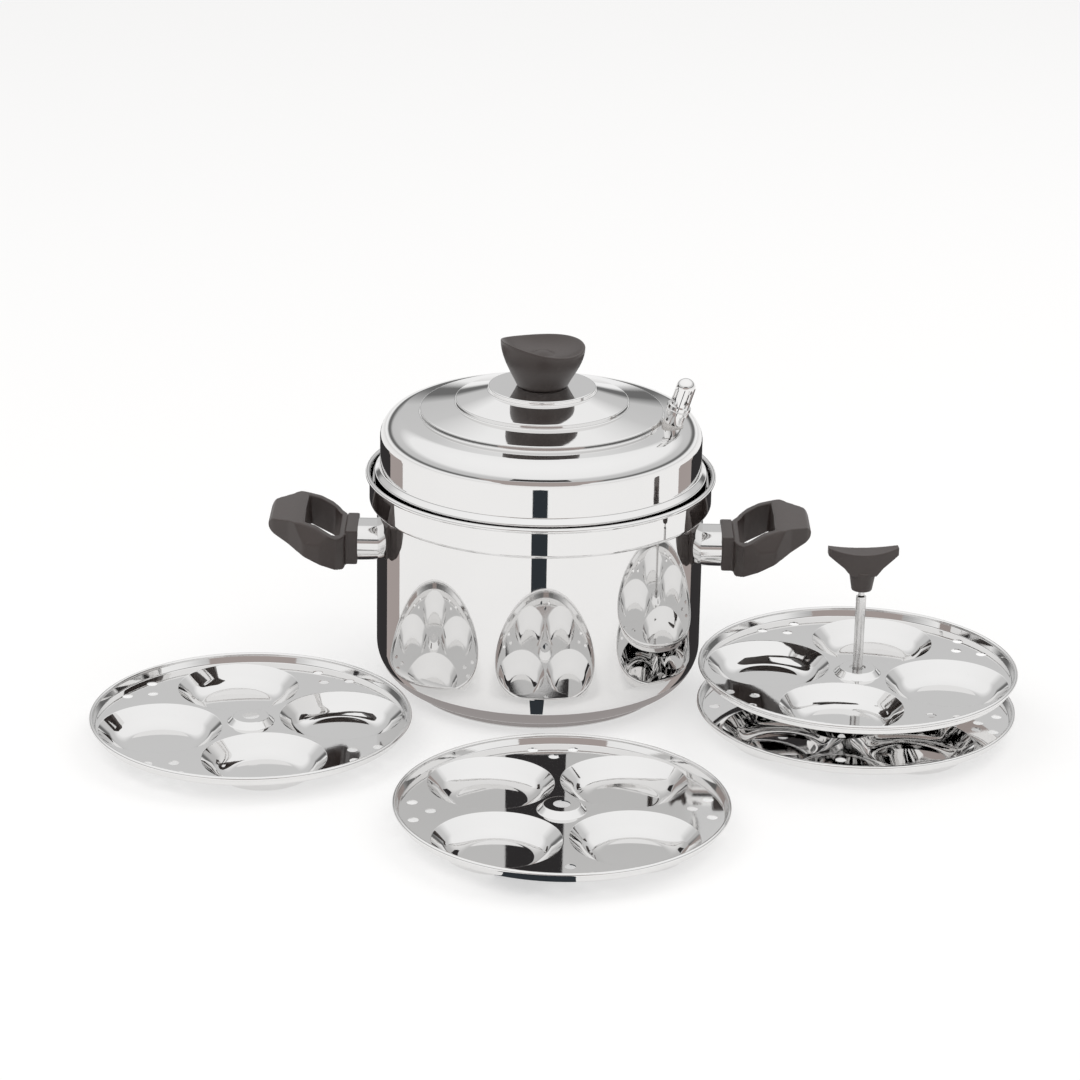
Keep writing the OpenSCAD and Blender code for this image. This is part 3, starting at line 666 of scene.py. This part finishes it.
def thick_plate():
    """The upper face given the sheet's thickness, and the rolled rim."""
    skin = plate_skin()
    bmesh.ops.recalc_face_normals(skin, faces=skin.faces)
    if sum(face.normal.z * face.calc_area() for face in skin.faces) < 0:
        bmesh.ops.reverse_faces(skin, faces=skin.faces)
    sheet = helper("plate", skin)
    wall = sheet.modifiers.new("wall", "SOLIDIFY")
    wall.thickness = (PLATE_SHEET - SKIN_GAP) / 1000
    wall.offset = -1
    wall.use_even_offset = True
    bpy.context.view_layer.update()
    result = bpy.data.meshes.new_from_object(sheet.evaluated_get(bpy.context.evaluated_depsgraph_get()))
    bpy.data.objects.remove(sheet)
    mesh = bmesh.new()
    mesh.from_mesh(result)
    bpy.data.meshes.remove(result)
    spun(mesh, ring_outline(PLATE_R - PLATE_BEAD / 2, FLAT + 5, PLATE_BEAD, 12), True, 192)
    return mesh


PLATES = {"left_plate": ("left_plate", 12.8), "front_plate": ("front_plate", 48.6),
          "rack_lower_plate": ("rack_lower_plate", 34), "rack_upper_plate": ("rack_upper_plate", 76)}
stamped = thick_plate()
for node_name, (body_name, cup_turn) in PLATES.items():
    low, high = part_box(node_name)
    middle = (low + high) / 2
    one = stamped.copy()
    cups_round = Matrix.Rotation(math.radians(cup_turn), 3, "Z")
    bmesh.ops.rotate(one, cent=(0, 0, 0), matrix=cups_round, verts=one.verts)
    bmesh.ops.translate(one, vec=(middle.x, middle.y, low.z), verts=one.verts)
    plate_steel = polished(node_name + "_steel", haze=0.02, patch=0.04, rings=0.03,
                           centre=(middle.x, middle.y, 0), wave=0.2)
    piece(node_name + "_stamping", one, plate_steel, body_name, [node_name])
stamped.free()

# The rack's knob: a bakelite tee, a round neck that spreads into two wings with a saddle between
# them. It is screwed on the rod's threaded neck by a brass insert.

TEE_H = 30
TEE_SADDLE = 3.6
TEE_LEN = 46.5
TEE_W = 16
TEE_TIP = 6
TEE_FOOT = 6.75
TEE_NECK = 9
TEE_NECK_H = 13.4
TEE_TURN = math.radians(4)


def tee_shape():
    """The rack's knob from its foot: plan and side outlines crossed, joined to a tapering neck."""
    side_low = rounded([(TEE_LEN / 2, TEE_H - 5.4, 0), (TEE_NECK + 4, TEE_NECK_H + 3.4, 9),
                        (TEE_NECK - 0.6, TEE_NECK_H - 2, 0)])
    shares = [k / 12 for k in range(-12, 13)]
    side = [(share * TEE_LEN / 2, TEE_H - TEE_SADDLE * (1 - share * share)) for share in shares]
    side += [(point.x, point.y) for point in side_low] + [(-point.x, point.y) for point in side_low[::-1]]
    width = [(share * TEE_LEN / 2, TEE_W / 2 - (TEE_W - TEE_TIP) / 2 * share * share) for share in shares]
    plan = width + [(x, -y) for x, y in width[::-1]]
    plan_mesh = bmesh.new()
    prism(plan_mesh, plan, Matrix.Translation((0, 0, 20)), 20)
    side_mesh = bmesh.new()
    prism(side_mesh, side, SIDEWAYS, 20)
    neck = bmesh.new()
    bmesh.ops.create_cone(neck, cap_ends=True, segments=64, radius1=TEE_FOOT, radius2=TEE_NECK,
                          depth=TEE_NECK_H)
    bmesh.ops.translate(neck, vec=(0, 0, TEE_NECK_H / 2), verts=neck.verts)
    cuts = [("INTERSECT", helper("tee_side", side_mesh)), ("UNION", helper("tee_neck", neck))]
    return carved("tee", helper("tee_plan", plan_mesh), cuts, 0.36, 7)


tee_low, tee_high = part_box("rack_knob")
tee_mesh = tee_shape()
bmesh.ops.scale(tee_mesh, vec=(0.001, 0.001, 0.001), verts=tee_mesh.verts)
bmesh.ops.rotate(tee_mesh, cent=(0, 0, 0), matrix=Matrix.Rotation(TEE_TURN, 3, "Z"), verts=tee_mesh.verts)
bmesh.ops.translate(tee_mesh, verts=tee_mesh.verts,
                    vec=((tee_low.x + tee_high.x) / 2, (tee_low.y + tee_high.y) / 2, tee_low.z))
piece("rack_knob_tee", tee_mesh, brown, "rack_knob", ["rack_knob"], 80)

# The small hardware keeps its own solids: steel sleeves and brackets welded to the pot, the vent's
# turned and chromed pieces screwed through the lid, the ground rod with its screwed foot and loose
# spacer, and screws, washers, brass inserts and the silicone gasket.

sleeve_steel = polished("sleeve_polished_steel", 0.84, 0.05, 0.08)
chrome = polished("vent_bright_chrome", 0.90, 0.02, 0.03)
rod_steel = polished("rod_ground_steel", 0.80, 0.09, 0.08, 0.6)
plain_steel = polished("screw_plain_steel", 0.74, 0.20, 0.10, 0.3)


def turned_metal(name, tone, haze):
    """A lathe-turned metal with marks round the upright axis."""
    made = bpy.data.materials.new(name)
    made.use_nodes = True
    graph = Graph(made.node_tree)
    lines = graph.noise(graph.place(), 900, 2, (0.05, 0.05, 1))
    graph.surface({"Base Color": graph.blend(lines, tone, tuple(value * 0.8 for value in tone[:3]) + (1,)),
                   "Metallic": 1.0, "Roughness": haze + lines * 0.15,
                   "Normal": graph.bump(lines, 0.3, 0.0001)})
    return made


def silicone(name):
    """A soft pale rubber."""
    made = bpy.data.materials.new(name)
    made.use_nodes = True
    graph = Graph(made.node_tree)
    grain = graph.noise(graph.place(), 700, 3)
    graph.surface({"Base Color": graph.blend(grain, grey(0.56, 0.02), grey(0.66, 0.02)),
                   "Roughness": 0.5 + grain * 0.1, "Normal": graph.bump(grain, 0.2, 0.0001)})
    return made


HARDWARE = {
    sleeve_steel: ["left_handle_sleeve", "right_handle_sleeve"],
    chrome: ["vent_stem", "vent_collar", "vent_cap"],
    rod_steel: ["rack_rod", "rack_foot", "rack_spacer"],
    plain_steel: ["left_handle_bracket", "right_handle_bracket", "left_handle_screw", "right_handle_screw",
                  "lid_knob_screw", "lid_knob_washer", "vent_locknut", "rack_washer"],
    turned_metal("insert_turned_brass", (0.72, 0.52, 0.22, 1), 0.25): ["lid_knob_insert", "rack_knob_insert"],
    turned_metal("core_aluminium", (0.78, 0.78, 0.79, 1), 0.35): ["base_core"],
    silicone("gasket_silicone"): ["vent_gasket"],
}
for material, node_names in HARDWARE.items():
    for node_name in node_names:
        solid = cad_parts[node_name]
        for material_slot in solid.material_slots:
            material_slot.material = material
